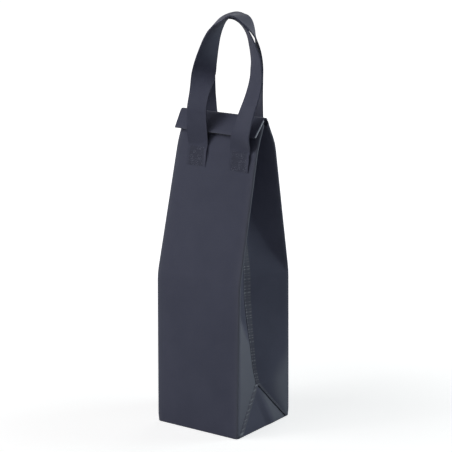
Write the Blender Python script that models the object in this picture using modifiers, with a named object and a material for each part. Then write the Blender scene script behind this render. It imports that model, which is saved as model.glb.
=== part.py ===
"""A tall insulated bag for one bottle, welded from laminated non-woven fabric.

Each sheet is a laminate: non-woven fabric outside, foamed lining faced with aluminised film inside.
The front and back sheets wrap round the corners and meet halfway along each side, where their margins
are welded into a seam that tucks inwards as a gusset. The base sheet rises into a triangle on each
side. The back sheet runs on past the mouth, folds forward over the front sheet and is the flap.
Two straps are welded on, one to each panel.

+X is to the right seen from the front, the front faces -Y, +Z is up. The origin is the middle of the
underside. All lengths are in metres.
"""
import math

import bmesh
import bpy
import numpy as np

# The laminate, from the outside in
FABRIC = 0.0006
LINING = 0.0020
GAP = 0.0003

# The box: its base, and the crease where the panels start to lean together
BAG_WIDTH = 0.1040
BAG_DEPTH = 0.0968
CREASE_HEIGHT = 0.1650
CREASE_FRONT = 0.0450
CREASE_BACK = 0.0462
CORNER_RADIUS = 0.0032
BEND_EASE = 0.0060

# The panels bend once more, at the shoulder, just below the mouth: how far below the fold's top
FRONT_SHOULDER_BELOW_FOLD = 0.0306
FRONT_SHOULDER_DEPTH = 0.0145
FRONT_TOP_BELOW_FOLD = 0.0081
FRONT_TOP_DEPTH = 0.0048
BACK_SHOULDER_BELOW_FOLD = 0.0286
BACK_SHOULDER_DEPTH = 0.0190

# The stuffed bag swells at the crease, draws in at the mouth and leans a little to one side
WAIST_SWELL = 0.0013
MOUTH_DRAW = 0.0016
WAIST_SWAY = -0.0012
MOUTH_SWAY = 0.0020

# The gussets: how far the side seams are tucked in, from the tip of the side triangle to the mouth
TIP_HEIGHT = 0.0460
TIP_RECESS = 0.0100
WAIST_HEIGHT = 0.1360
WAIST_RECESS = 0.0240
TUCK_HEIGHT = 0.1900
TUCK_RECESS = 0.0255
GUSSET_TOP_BELOW_FOLD = 0.0146
MOUTH_RECESS = 0.0470
TRIANGLE_FOOT = 0.0030

# The welded margins lie flat against the sheets
WELD = 0.0012
WELD_WIDTH = 0.0050
WELD_ROOT = 0.0008
WELD_END_CLEARANCE = 0.0040
SLANT_SLOT = 0.0030

# The flap, from the top of the fold to its cut edge
FOLD_HEIGHT = 0.3366
FOLD_OFFSET = 0.0005
FOLD_RADIUS = 0.0050
FLAP_WIDTH = 0.1040
FLAP_RUN = 0.0247
FLAP_ANGLE = math.radians(45.0)
FOLD_SPLIT = math.radians(4.0)

# Everything round the mouth goes up and down with the fold
FRONT_SHOULDER_HEIGHT = FOLD_HEIGHT - FRONT_SHOULDER_BELOW_FOLD
FRONT_TOP_HEIGHT = FOLD_HEIGHT - FRONT_TOP_BELOW_FOLD
BACK_SHOULDER_HEIGHT = FOLD_HEIGHT - BACK_SHOULDER_BELOW_FOLD
GUSSET_TOP = FOLD_HEIGHT - GUSSET_TOP_BELOW_FOLD

# The hook-and-loop closure under the flap
CLOSURE_LENGTH = 0.0600
CLOSURE_WIDTH = 0.0080
HOOK = 0.0010
LOOP = 0.0012
HOOK_BELOW_TOP = 0.0090
LOOP_FROM_FOLD = 0.0135

# The straps, and the welded ends that hold them
STRAP_WIDTH = 0.0250
STRAP = 0.0014
STRAP_END_HEIGHT = 0.0220
STRAP_END_BELOW_FOLD = 0.0326
STRAP_END_TOP = FOLD_HEIGHT - STRAP_END_BELOW_FOLD
STRAP_CLEARANCE = 0.0014
FRONT_STRAP_LEFT = -0.0215
FRONT_STRAP_RIGHT = 0.0370
FRONT_STRAP_RISE = 0.1289
BACK_STRAP_LEFT = -0.0270
BACK_STRAP_RIGHT = 0.0270
BACK_STRAP_STANDOFF = 0.0200
BACK_STRAP_RISE = 0.1362

# Stations along each strap between its welded ends: across, as a share of the distance between the
# ends; out from the middle of the bag, as a share of the strap's stand-off; up, as a share of its
# rise; and turned about the upright, as a share of half a turn
FRONT_STRAP_SHARES = (
    (0.07, 1.01, 0.311, -0.03),
    (0.16, 0.88, 0.552, 0.09),
    (0.23, 0.56, 0.785, 0.43),
    (0.36, 0.20, 1.000, 0.56),
    (0.88, 0.25, 0.955, 0.74),
    (1.28, 0.73, 0.688, 0.82),
    (1.21, 1.00, 0.381, 0.86),
    (1.05, 1.03, 0.130, 1.00),
)
BACK_STRAP_SHARES = (
    (-0.07, 1.01, 0.100, 0.04),
    (-0.21, 0.95, 0.298, 0.14),
    (-0.15, 0.78, 0.584, 0.39),
    (0.11, 0.42, 0.840, 0.59),
    (0.54, 0.25, 1.000, 0.63),
    (0.92, 0.27, 0.976, 0.57),
    (1.17, 0.48, 0.802, 0.71),
    (1.10, 0.85, 0.471, 0.81),
    (1.02, 1.00, 0.120, 0.95),
)

# How finely the curved forms are cut
ARC_STEPS = 5
RUN_STEPS = 2
PANEL_STEPS = 2
FOLD_STEPS = 5
STRAP_STEPS = 48
CORNER_STEPS = 4

LAMINATE = FABRIC + GAP + LINING
SLOT = WELD + 2.0 * GAP
BASE_TOP = FABRIC + GAP
FABRIC_LAYER = (0.0, FABRIC)
LINING_LAYER = (FABRIC + GAP, LAMINATE)


def material(name, colour, roughness, metallic=0.0):
    """A Principled material of one colour."""
    made = bpy.data.materials.new(name)
    made.use_nodes = True
    shader = made.node_tree.nodes["Principled BSDF"]
    shader.inputs["Base Color"].default_value = (*colour, 1.0)
    shader.inputs["Roughness"].default_value = roughness
    shader.inputs["Metallic"].default_value = metallic
    return made


def add_object(name, mesh, finish, parent=None):
    """An object of the bag, in the bag's collection, placed under its hinge if it moves."""
    thing = bpy.data.objects.new(name, mesh)
    mesh.materials.append(finish)
    bpy.data.collections["cooler_bag"].objects.link(thing)
    if parent is not None:
        thing.parent = parent
        thing.matrix_parent_inverse = parent.matrix_world.inverted()
    return thing


def hinge(name, y, z, parent=None):
    """An empty on a hinge line that runs along X."""
    empty = bpy.data.objects.new(name, None)
    bpy.data.collections["cooler_bag"].objects.link(empty)
    empty.location = (0.0, y, z)
    bpy.context.view_layer.update()
    if parent is not None:
        empty.parent = parent
        empty.matrix_parent_inverse = parent.matrix_world.inverted()
        bpy.context.view_layer.update()
    return empty


def sheet_between(name, outside, inside):
    """A closed sheet lofted between two grids of points, its outer skin and its inner skin.

    Both skins are cut along the same diagonals, so that neighbouring layers keep their distance.
    """
    rows, columns = outside.shape[:2]
    corner = np.arange(rows * columns).reshape(rows, columns)
    halves = (
        np.stack([corner[:-1, :-1], corner[:-1, 1:], corner[1:, 1:]], -1),
        np.stack([corner[:-1, :-1], corner[1:, 1:], corner[1:, :-1]], -1),
    )
    skin = np.concatenate([half.reshape(-1, 3) for half in halves])
    rim = np.concatenate([corner[0, :-1], corner[:-1, -1], corner[-1, :0:-1], corner[:0:-1, 0]])
    ahead = np.roll(rim, -1)
    second = rows * columns
    sides = np.stack([ahead, rim, rim + second, ahead + second], -1)
    faces = skin.tolist() + (skin[:, ::-1] + second).tolist() + sides.tolist()
    points = np.concatenate([outside.reshape(-1, 3), inside.reshape(-1, 3)])
    mesh = bpy.data.meshes.new(name)
    mesh.from_pydata(points.tolist(), [], faces)
    shape = bmesh.new()
    shape.from_mesh(mesh)
    bmesh.ops.recalc_face_normals(shape, faces=shape.faces)
    shape.to_mesh(mesh)
    shape.free()
    return mesh


def eased(height, heights, values):
    """A bent line through the given points, with each bend eased over a short height."""
    before, after = height - BEND_EASE, height + BEND_EASE
    middle = np.interp(height, heights, values)
    ends = np.interp(before, heights, values) + np.interp(after, heights, values)
    return (2.0 * middle + ends) / 4.0


def half_width(height):
    """Half the bag's width: it swells at the crease and draws in towards the mouth."""
    middle = BAG_WIDTH / 2.0
    widths = (middle, middle + WAIST_SWELL, middle - MOUTH_DRAW)
    return eased(height, (0.0, CREASE_HEIGHT, FOLD_HEIGHT), widths)


def sway(height):
    """How far the middle of the bag stands to the right of the middle of its base."""
    return eased(height, (0.0, CREASE_HEIGHT, FOLD_HEIGHT), (0.0, WAIST_SWAY, MOUTH_SWAY))


def front_depth(height):
    """How far the front panel's outer skin stands in front of the bag's middle plane."""
    heights = (0.0, CREASE_HEIGHT, FRONT_SHOULDER_HEIGHT, FRONT_TOP_HEIGHT)
    depths = (BAG_DEPTH / 2.0, CREASE_FRONT, FRONT_SHOULDER_DEPTH, FRONT_TOP_DEPTH)
    return eased(height, heights, depths)


def back_depth(height):
    """How far the back panel's outer skin stands behind the bag's middle plane."""
    heights = (0.0, CREASE_HEIGHT, BACK_SHOULDER_HEIGHT, fold_start()[1])
    depths = (BAG_DEPTH / 2.0, CREASE_BACK, BACK_SHOULDER_DEPTH, fold_start()[0])
    return eased(height, heights, depths)


def tangent_angle(centre, point, radius):
    """The angle at which a line from the point touches a circle, on its clockwise side."""
    along = np.arctan2(point[1] - centre[1], point[0] - centre[0])
    reach = np.hypot(point[0] - centre[0], point[1] - centre[1])
    return along + np.arccos(radius / reach)


def fold_middle():
    """The middle of the round fold at the mouth, as its y and z."""
    return FOLD_OFFSET, FOLD_HEIGHT - FOLD_RADIUS


def fold_angle():
    """Where the back panel, rising from its shoulder, touches the round fold."""
    return float(tangent_angle(fold_middle(), (BACK_SHOULDER_DEPTH, BACK_SHOULDER_HEIGHT), FOLD_RADIUS))


def fold_start():
    """The y and z at which the back panel's outer skin runs into the fold."""
    y, z = fold_middle()
    return y + FOLD_RADIUS * math.cos(fold_angle()), z + FOLD_RADIUS * math.sin(fold_angle())


def recess(height):
    """How far the side seam is tucked in from the side of the bag."""
    heights = (TIP_HEIGHT, WAIST_HEIGHT, TUCK_HEIGHT, GUSSET_TOP)
    recesses = (TIP_RECESS, WAIST_RECESS, TUCK_RECESS, MOUTH_RECESS)
    return np.interp(height, heights, recesses)


def seam_point(height):
    """Where a sheet ends on the side: on the slanted base seam, then on the upright side seam.

    Given as x from the bag's middle and as distance from the plane of the side seams.
    """
    foot = BAG_DEPTH / 2.0 - CORNER_RADIUS - TRIANGLE_FOOT
    risen = min(height / TIP_HEIGHT, 1.0)
    tucked = recess(height) if risen == 1.0 else TIP_RECESS * risen
    return half_width(height) - tucked, foot * (1.0 - risen) + risen * SLOT / 2.0


def corner_path(height, depth, inset):
    """Half a side in plan: round the corner, then straight to the seam, set in by the given inset.

    The corner is an arc of CORNER_RADIUS, and the straight run touches it and ends at the seam.
    """
    width = half_width(height)
    centre = (width - CORNER_RADIUS, depth - CORNER_RADIUS)
    end = seam_point(height)
    last = tangent_angle(centre, end, CORNER_RADIUS)
    turn = np.linspace(math.pi / 2.0, last, ARC_STEPS + 1)
    radius = CORNER_RADIUS - inset
    arc = np.stack([centre[0] + radius * np.cos(turn), centre[1] + radius * np.sin(turn)], -1)
    finish = np.array([end[0] - inset * np.cos(last), end[1] - inset * np.sin(last)])
    share = np.linspace(0.0, 1.0, RUN_STEPS + 1)[1:, None]
    return np.concatenate([arc, arc[-1] + share * (finish - arc[-1])])


def heights_between(low, high, steps, extra=()):
    """Heights from low to high, with the given extra ones that lie between them."""
    inside = [z for z in extra if low < z < high]
    return np.array(sorted({*np.linspace(low, high, steps + 1).tolist(), *inside}))


def placed(path, height, side, face):
    """A plan path at a height, mirrored to the left or the front as asked."""
    return np.stack([sway(height) + side * path[:, 0], face * path[:, 1], np.full(len(path), height)], -1)


def wrapped_grid(depth_at, face, heights, inset):
    """The points of a lower sheet: from one side seam, round both corners, to the other."""
    rows = []
    for height in heights:
        corner = corner_path(height, depth_at(height), inset)
        right = placed(corner, height, 1.0, face)
        left = placed(corner, height, -1.0, face)
        share = np.linspace(0.0, 1.0, PANEL_STEPS + 1)[1:-1, None]
        across = left[0] + share * (right[0] - left[0])
        rows.append(np.concatenate([left[::-1], across, right]))
    return np.array(rows)


def gusset_grid(depth_at, face, side, heights, inset):
    """The points of half an upper gusset: one corner and its run to the side seam."""
    return np.array([placed(corner_path(z, depth_at(z), inset), z, side, face) for z in heights])


def panel_grid(depth_at, face, heights, inset):
    """The points of an upper panel, between its two corners."""
    rows = []
    for height in heights:
        half = half_width(height) - CORNER_RADIUS - GAP
        x = sway(height) + np.linspace(-half, half, PANEL_STEPS + 1)
        y = np.full_like(x, face * (depth_at(height) - inset))
        rows.append(np.stack([x, y, np.full_like(x, height)], -1))
    return np.array(rows)


def fold_grid(first, last, run, half, inset):
    """The points of the round fold between two angles, then straight on for the given run."""
    y, z = fold_middle()
    turn = np.linspace(first, last, FOLD_STEPS + 1)
    radius = FOLD_RADIUS - inset
    profile = [(y + radius * math.cos(a), z + radius * math.sin(a)) for a in turn]
    if run > 0.0:
        end = profile[-1]
        profile.append((end[0] - run * math.sin(last), end[1] + run * math.cos(last)))
    x = sway(FOLD_HEIGHT) + np.linspace(-half, half, PANEL_STEPS + 1)
    return np.array([[(across, *point) for across in x] for point in profile])


def make_sheets(finishes, front, back):
    """The wrapped lower sheets, the upper panels and the gussets, each in its two layers."""
    top = CREASE_HEIGHT - GAP / 2.0
    lower = heights_between(BASE_TOP, top, 8, (TIP_HEIGHT, WAIST_HEIGHT))
    bottom = CREASE_HEIGHT + GAP / 2.0
    pleated = heights_between(bottom, GUSSET_TOP, 9, (TUCK_HEIGHT,))
    upright = heights_between(bottom, FRONT_TOP_HEIGHT, 6, (FRONT_SHOULDER_HEIGHT,))
    rising = heights_between(bottom, fold_start()[1], 6, (BACK_SHOULDER_HEIGHT,))
    for layer, inset in (("fabric", FABRIC_LAYER), ("lining", LINING_LAYER)):
        for place, depth_at, face in (("front", front_depth, -1.0), ("back", back_depth, 1.0)):
            skins = [wrapped_grid(depth_at, face, lower, depth) for depth in inset]
            name = f"{place}_{layer}_lower"
            add_object(name, sheet_between(name, *skins), finishes[layer])
            for where, side in (("left", -1.0), ("right", 1.0)):
                skins = [gusset_grid(depth_at, face, side, pleated, depth) for depth in inset]
                name = f"{where}_gusset_{place}_{layer}"
                add_object(name, sheet_between(name, *skins), finishes[layer])
        skins = [panel_grid(front_depth, -1.0, upright, depth) for depth in inset]
        name = f"front_{layer}_upper"
        add_object(name, sheet_between(name, *skins), finishes[layer], front)
        half = half_width(FOLD_HEIGHT) - CORNER_RADIUS - GAP
        skins = []
        for depth in inset:
            panel = panel_grid(back_depth, 1.0, rising, depth)[:-1]
            fold = fold_grid(fold_angle(), math.pi / 2.0 - FOLD_SPLIT, 0.0, half, depth)
            skins.append(np.concatenate([panel, fold]))
        name = f"back_{layer}_upper"
        add_object(name, sheet_between(name, *skins), finishes[layer], back)


def make_flap(finishes, flap):
    """The flap: the rest of the fold and its straight run down over the front, in two layers."""
    last = math.pi / 2.0 + FLAP_ANGLE
    for layer, inset in (("fabric", FABRIC_LAYER), ("lining", LINING_LAYER)):
        first = math.pi / 2.0 + FOLD_SPLIT
        skins = [fold_grid(first, last, FLAP_RUN, FLAP_WIDTH / 2.0, depth) for depth in inset]
        name = f"flap_{layer}"
        add_object(name, sheet_between(name, *skins), finishes[layer], flap)


def flap_edge():
    """The y and z of the flap's outer skin at its cut edge."""
    y, z = fold_middle()
    last = math.pi / 2.0 + FLAP_ANGLE
    y += FOLD_RADIUS * math.cos(last) - FLAP_RUN * math.sin(last)
    z += FOLD_RADIUS * math.sin(last) + FLAP_RUN * math.cos(last)
    return y, z


def base_outline(inset):
    """The base in plan, anticlockwise from the right-hand side's front end, with rounded corners."""
    foot = BAG_DEPTH / 2.0 - CORNER_RADIUS - TRIANGLE_FOOT - SLANT_SLOT
    x = BAG_WIDTH / 2.0 - inset
    y = BAG_DEPTH / 2.0 - inset
    radius = CORNER_RADIUS - inset
    points = []
    for quarter in range(4):
        turn = quarter * math.pi / 2.0 + np.linspace(0.0, math.pi / 2.0, CORNER_STEPS + 1)
        right = 1.0 if quarter in (0, 3) else -1.0
        behind = 1.0 if quarter in (0, 1) else -1.0
        arc_x = right * (x - radius) + radius * np.cos(turn)
        arc_y = behind * (y - radius) + radius * np.sin(turn)
        arc = list(zip(arc_x.tolist(), arc_y.tolist()))
        ends = {0: [(x, foot)], 1: [], 2: [(-x, -foot)], 3: []}
        points += ends[quarter] + arc
        if quarter in (1, 3):
            points.append((-x, foot) if quarter == 1 else (x, -foot))
    return points, foot


def lining_outline(inset):
    """The lining's base in plan: full width between the feet, and clear of the wrapped lining."""
    foot = BAG_DEPTH / 2.0 - CORNER_RADIUS - TRIANGLE_FOOT - SLANT_SLOT
    clear = LAMINATE + GAP
    x, y = BAG_WIDTH / 2.0, BAG_DEPTH / 2.0 - clear
    quarter = [(x - inset, foot), (x - clear - SLOT / 2.0, foot), (x - clear, y)]
    points = quarter + [(-a, b) for a, b in quarter[::-1]]
    return points + [(-a, -b) for a, b in points], foot


def base_mesh(name, outline, foot, inset):
    """The base and its two side triangles as one folded surface, thickened inwards."""
    shape = bmesh.new()
    ring = [shape.verts.new((x, y, inset)) for x, y in outline]
    shape.faces.new(ring[::-1])
    tip_height = TIP_HEIGHT - SLANT_SLOT
    for side in (1.0, -1.0):
        edge = [v for v in ring if side * v.co.x > BAG_WIDTH / 2.0 - inset - GAP / 2.0]
        edge = sorted((v for v in edge if abs(v.co.y) < foot + GAP), key=lambda v: side * v.co.y)
        tip = shape.verts.new((side * (BAG_WIDTH / 2.0 - TIP_RECESS - inset), 0.0, tip_height))
        shape.faces.new([edge[0], edge[-1], tip])
    mesh = bpy.data.meshes.new(name)
    shape.normal_update()
    shape.to_mesh(mesh)
    shape.free()
    return mesh


def make_base(finishes):
    """The base sheet in its two layers, each an open folded surface made thick."""
    for layer, inset, outline in (
        ("fabric", FABRIC_LAYER, base_outline),
        ("lining", LINING_LAYER, lining_outline),
    ):
        points, foot = outline(inset[0])
        name = f"base_{layer}"
        mesh = base_mesh(name, points, foot, inset[0])
        sheet = add_object(name, mesh, finishes[layer])
        solid = sheet.modifiers.new("thickness", "SOLIDIFY")
        solid.solidify_mode = "NON_MANIFOLD"
        solid.nonmanifold_thickness_mode = "CONSTRAINTS"
        solid.nonmanifold_merge_threshold = 0.0
        solid.thickness = inset[1] - inset[0]
        solid.offset = -1.0


def thickened(thing, thickness):
    """Gives an open surface its thickness, half to each side."""
    solid = thing.modifiers.new("thickness", "SOLIDIFY")
    solid.thickness = thickness
    solid.offset = 0.0
    solid.use_even_offset = True


def surface(name, grid):
    """An open mesh over a grid of points."""
    rows, columns = grid.shape[:2]
    corner = np.arange(rows * columns).reshape(rows, columns)
    faces = np.stack([corner[:-1, :-1], corner[:-1, 1:], corner[1:, 1:], corner[1:, :-1]], -1)
    mesh = bpy.data.meshes.new(name)
    mesh.from_pydata(grid.reshape(-1, 3).tolist(), [], faces.reshape(-1, 4).tolist())
    return mesh


def make_seams(finish):
    """The welded margins: up each side seam, and along the slanted edges of the side triangles."""
    heights = heights_between(TIP_HEIGHT + WELD_END_CLEARANCE, GUSSET_TOP, 14, (WAIST_HEIGHT, TUCK_HEIGHT))
    for where, side in (("left", -1.0), ("right", 1.0)):
        rows = []
        for height in heights:
            path = corner_path(height, back_depth(height), 0.0)
            along = (path[-2] - path[-1]) / np.linalg.norm(path[-2] - path[-1])
            valley = np.array([path[-1][0], 0.0])
            root = valley - (WELD_ROOT, 0.0)
            bend = valley + np.array([SLOT / 2.0, 0.0]) * abs(along[1])
            strip = np.array([root, bend, bend + WELD_WIDTH * along])
            rows.append(placed(strip, height, side, 1.0))
        name = f"{where}_side_seam"
        thickened(add_object(name, surface(name, np.array(rows)), finish), WELD)
        slanted = heights_between(BASE_TOP + WELD_END_CLEARANCE, TIP_HEIGHT - WELD_END_CLEARANCE, 4)
        for place, depth_at, face in (("front", front_depth, -1.0), ("back", back_depth, 1.0)):
            rows = []
            for height in slanted:
                path = corner_path(height, depth_at(height), 0.0)
                along = (path[-2] - path[-1]) / np.linalg.norm(path[-2] - path[-1])
                outward = np.array([along[1], -along[0]])
                middle = path[-1] - np.array([0.0, SLANT_SLOT / 2.0])
                lifted = path[-1] + outward * (GAP + WELD / 2.0)
                bend = middle + outward * (GAP + WELD / 2.0)
                tip = lifted + along * WELD_WIDTH * math.sqrt(2.0)
                strip = np.array([middle - (WELD_ROOT, 0.0), bend, tip])
                rows.append(placed(strip, height, side, face))
            name = f"{where}_base_seam_{place}"
            thickened(add_object(name, surface(name, np.array(rows)), finish), WELD)


def box(name, size, finish, parent, edge):
    """A plate with its edges a little rounded, made about its own middle."""
    bpy.ops.mesh.primitive_cube_add(size=1.0)
    made = bpy.context.object
    mesh = made.data
    bpy.data.objects.remove(made)
    mesh.name = name
    mesh.transform(np.diag([*size, 1.0]))
    plate = add_object(name, mesh, finish, parent)
    bevel = plate.modifiers.new("edge", "BEVEL")
    bevel.width = edge
    bevel.segments = 1
    return plate


def seat(plate, parent, x, y, z, lean):
    """Stands a plate on a leaning panel."""
    plate.matrix_parent_inverse.identity()
    plate.parent = None
    plate.location = (x, y, z)
    plate.rotation_euler = (lean, 0.0, 0.0)
    bpy.context.view_layer.update()
    plate.parent = parent
    plate.matrix_parent_inverse = parent.matrix_world.inverted()


def panel_lean(depth_at, height):
    """How far a panel leans in from the upright at a height."""
    step = GAP
    return math.atan2(depth_at(height - step) - depth_at(height + step), 2.0 * step)


def make_strap_ends(finish, front, back):
    """The welded strap ends, each flat on its panel."""
    places = (
        ("front", front_depth, -1.0, front, FRONT_STRAP_LEFT, FRONT_STRAP_RIGHT),
        ("back", back_depth, 1.0, back, BACK_STRAP_LEFT, BACK_STRAP_RIGHT),
    )
    for place, depth_at, face, parent, left, right in places:
        middle = STRAP_END_TOP - STRAP_END_HEIGHT / 2.0
        lean = panel_lean(depth_at, middle)
        off = (GAP + STRAP / 2.0) / math.cos(lean)
        for where, x in (("left", left), ("right", right)):
            name = f"{place}_strap_end_{where}"
            size = (STRAP_WIDTH, STRAP, STRAP_END_HEIGHT / math.cos(lean))
            plate = box(name, size, finish, parent, STRAP / 4.0)
            seat(plate, parent, x, face * (depth_at(middle) + off), middle, face * lean)


def smooth_path(stations, steps):
    """A smooth curve through stations, by cubic pieces whose ends share their slopes."""
    stations = np.array(stations)
    gaps = np.linalg.norm(np.diff(stations[:, :3], axis=0), axis=1)
    at = np.concatenate([[0.0], np.cumsum(gaps)])
    slope = np.gradient(stations, at, axis=0)
    want = np.linspace(0.0, at[-1], steps + 1)
    piece = np.clip(np.searchsorted(at, want, side="right") - 1, 0, len(gaps) - 1)
    span = gaps[piece][:, None]
    t = (want[:, None] - at[piece][:, None]) / span
    start, end = stations[piece], stations[piece + 1]
    rise, fall = slope[piece] * span, slope[piece + 1] * span
    return (
        (2 * t**3 - 3 * t**2 + 1) * start
        + (t**3 - 2 * t**2 + t) * rise
        + (3 * t**2 - 2 * t**3) * end
        + (t**3 - t**2) * fall
    )


def strap_grid(stations, width):
    """The points of a strap that twists as it goes: three across, square to its path."""
    path = smooth_path(stations, STRAP_STEPS)
    centre, turn = path[:, :3], path[:, 3] * math.pi
    along = np.gradient(centre, axis=0)
    along /= np.linalg.norm(along, axis=1)[:, None]
    across = np.stack([np.cos(turn), np.sin(turn), np.zeros_like(turn)], -1)
    across -= along * (across * along).sum(axis=1)[:, None]
    across /= np.linalg.norm(across, axis=1)[:, None]
    across[0], across[-1] = (1.0, 0.0, 0.0), (-1.0, 0.0, 0.0)
    shares = np.array([-0.5, 0.0, 0.5])[None, :, None]
    return centre[:, None, :] + shares * width * across[:, None, :]


def strap_start(depth_at, face):
    """The y and z at which a strap leaves the top of its welded ends."""
    height = STRAP_END_TOP + STRAP / 2.0
    lean = panel_lean(depth_at, STRAP_END_TOP - STRAP_END_HEIGHT / 2.0)
    return face * (depth_at(height) + (GAP + STRAP / 2.0) / math.cos(lean)), height


def strap_stations(shares, ends, start, standoff, rise, face, passing=()):
    """The stations of a strap from one welded end to the other."""
    left, right = ends
    y, z = start
    stations = [(left, y, z, 0.0)]
    stations += [(left, *point, 0.0) for point in passing]
    for across, out, up, turned in shares:
        stations.append((left + across * (right - left), face * out * standoff, z + up * rise, turned))
    stations.append((right, y, z, 1.0))
    return stations


def make_handles(finish, front, back):
    """The two straps between their welded ends."""
    edge = flap_edge()
    standoff = STRAP_CLEARANCE + STRAP / 2.0 - edge[0]
    start = strap_start(front_depth, -1.0)
    passing = ((-standoff, edge[1]),)
    ends = FRONT_STRAP_LEFT, FRONT_STRAP_RIGHT
    stations = strap_stations(FRONT_STRAP_SHARES, ends, start, standoff, FRONT_STRAP_RISE, -1.0, passing)
    mesh = surface("front_handle", strap_grid(stations, STRAP_WIDTH))
    swing = hinge("front_handle_hinge", start[0] - STRAP, start[1], front)
    thickened(add_object("front_handle", mesh, finish, swing), STRAP)
    start = strap_start(back_depth, 1.0)
    ends = BACK_STRAP_LEFT, BACK_STRAP_RIGHT
    stations = strap_stations(BACK_STRAP_SHARES, ends, start, BACK_STRAP_STANDOFF, BACK_STRAP_RISE, 1.0)
    mesh = surface("back_handle", strap_grid(stations, STRAP_WIDTH))
    swing = hinge("back_handle_hinge", start[0] + STRAP, start[1], back)
    thickened(add_object("back_handle", mesh, finish, swing), STRAP)


def make_closure(finish, front, flap):
    """The hook strip on the front panel and the loop strip on the underside of the flap."""
    height = FRONT_TOP_HEIGHT - HOOK_BELOW_TOP - CLOSURE_WIDTH / 2.0
    lean = panel_lean(front_depth, height)
    off = (GAP + HOOK / 2.0) / math.cos(lean)
    plate = box("hook_strip", (CLOSURE_LENGTH, HOOK, CLOSURE_WIDTH), finish, front, HOOK / 4.0)
    seat(plate, front, sway(height), -(front_depth(height) + off), height, -lean)
    last = math.pi / 2.0 + FLAP_ANGLE
    y, z = fold_middle()
    run = LOOP_FROM_FOLD + CLOSURE_WIDTH / 2.0
    inward = FOLD_RADIUS - LAMINATE - GAP - LOOP / 2.0
    y += inward * math.cos(last) - run * math.sin(last)
    z += inward * math.sin(last) + run * math.cos(last)
    plate = box("loop_strip", (CLOSURE_LENGTH, LOOP, CLOSURE_WIDTH), finish, flap, LOOP / 4.0)
    seat(plate, flap, sway(FOLD_HEIGHT), y, z, FLAP_ANGLE - math.pi / 2.0)


def main():
    for thing in list(bpy.data.objects):
        bpy.data.objects.remove(thing)
    for name in ("cooler_bag", "cutters"):
        bpy.context.scene.collection.children.link(bpy.data.collections.new(name))
    finishes = {
        "fabric": material("nonwoven_fabric", (0.047, 0.050, 0.068), 0.85),
        "lining": material("aluminised_lining", (0.62, 0.63, 0.66), 0.35, 0.6),
        "strap": material("strap_fabric", (0.045, 0.047, 0.064), 0.8),
        "weld": material("welded_margin", (0.040, 0.043, 0.058), 0.6),
        "closure": material("hook_and_loop", (0.030, 0.032, 0.045), 0.95),
    }
    front = hinge("front_panel_hinge", -CREASE_FRONT, CREASE_HEIGHT)
    back = hinge("back_panel_hinge", CREASE_BACK, CREASE_HEIGHT)
    flap = hinge("flap_hinge", FOLD_OFFSET, FOLD_HEIGHT, back)
    make_base(finishes)
    make_sheets(finishes, front, back)
    make_seams(finishes["weld"])
    make_flap(finishes, flap)
    make_closure(finishes["closure"], front, flap)
    make_strap_ends(finishes["strap"], front, back)
    make_handles(finishes["strap"], front, back)


main()
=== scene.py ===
"""The looks of the bottle cooler bag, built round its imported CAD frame.

Every sheet of the bag is a surface over two parameters: height, or distance along the sheet, and
place across it. The outer fabric and the lining are the same surface at two depths. Lengths are in
metres, +X is to the right seen from the front, the front faces -Y, +Z is up. The bag is at rest, with
its flap closed and both straps up.
"""
import math

import bpy
import numpy as np
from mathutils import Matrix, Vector


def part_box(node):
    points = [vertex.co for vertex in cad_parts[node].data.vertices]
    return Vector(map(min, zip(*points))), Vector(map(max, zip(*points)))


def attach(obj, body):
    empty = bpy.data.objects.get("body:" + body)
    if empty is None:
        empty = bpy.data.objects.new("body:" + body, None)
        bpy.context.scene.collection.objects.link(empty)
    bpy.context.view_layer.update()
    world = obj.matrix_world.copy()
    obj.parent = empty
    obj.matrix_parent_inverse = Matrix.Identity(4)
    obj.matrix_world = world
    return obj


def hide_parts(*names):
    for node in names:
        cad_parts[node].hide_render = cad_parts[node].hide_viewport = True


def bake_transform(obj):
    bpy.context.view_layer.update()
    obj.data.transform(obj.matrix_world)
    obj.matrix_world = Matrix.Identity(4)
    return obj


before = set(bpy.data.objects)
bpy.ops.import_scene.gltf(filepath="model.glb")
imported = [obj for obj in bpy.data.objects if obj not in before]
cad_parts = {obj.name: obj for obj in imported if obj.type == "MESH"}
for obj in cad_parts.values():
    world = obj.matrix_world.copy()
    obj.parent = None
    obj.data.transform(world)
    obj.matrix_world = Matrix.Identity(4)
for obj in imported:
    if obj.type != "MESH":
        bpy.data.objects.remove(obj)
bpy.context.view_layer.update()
MM = 0.001

# The laminate: fabric outside, a hair's gap, foamed lining inside
FABRIC = 0.6 * MM
GAP = 0.3 * MM
LINING = 2.0 * MM
LAMINATE = FABRIC + GAP + LINING
# Each layer of a sheet: its name, how far it is set in from the outer face, and its thickness
LAYERS = (("fabric", 0.0, FABRIC), ("lining", FABRIC + GAP, LINING))

# The bag's width and depth at the ground, a little fuller than the CAD's flat sheets
FULLER = 0.9 * MM
BAG_WIDTH = (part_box("base_fabric")[1].x + FULLER) * 2.0
BAG_DEPTH = (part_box("base_fabric")[1].y + FULLER) * 2.0

# The crease: its height, and how far before and behind the middle plane the panels stand there
CREASE_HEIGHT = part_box("front_fabric_lower")[1].z + GAP / 2.0
CREASE_FRONT = 45.7 * MM
CREASE_BACK = 47.3 * MM
# Half the height over which any bend of the outline is eased
BEND_EASE = 7.0 * MM

# The round fold over the mouth: its peak, its centre behind the middle plane, and its radius
FOLD_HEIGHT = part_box("flap_fabric")[1].z + 1.0 * MM
FOLD_OFFSET = 0.5 * MM
FOLD_RADIUS = 5.0 * MM
# The front panel and the gussets run on into the fold, past their CAD tops
RUN_INTO_FOLD = 6.0 * MM
FRONT_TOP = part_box("front_fabric_upper")[1].z + RUN_INTO_FOLD
GUSSET_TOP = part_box("right_gusset_front_fabric")[1].z + RUN_INTO_FOLD
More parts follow.
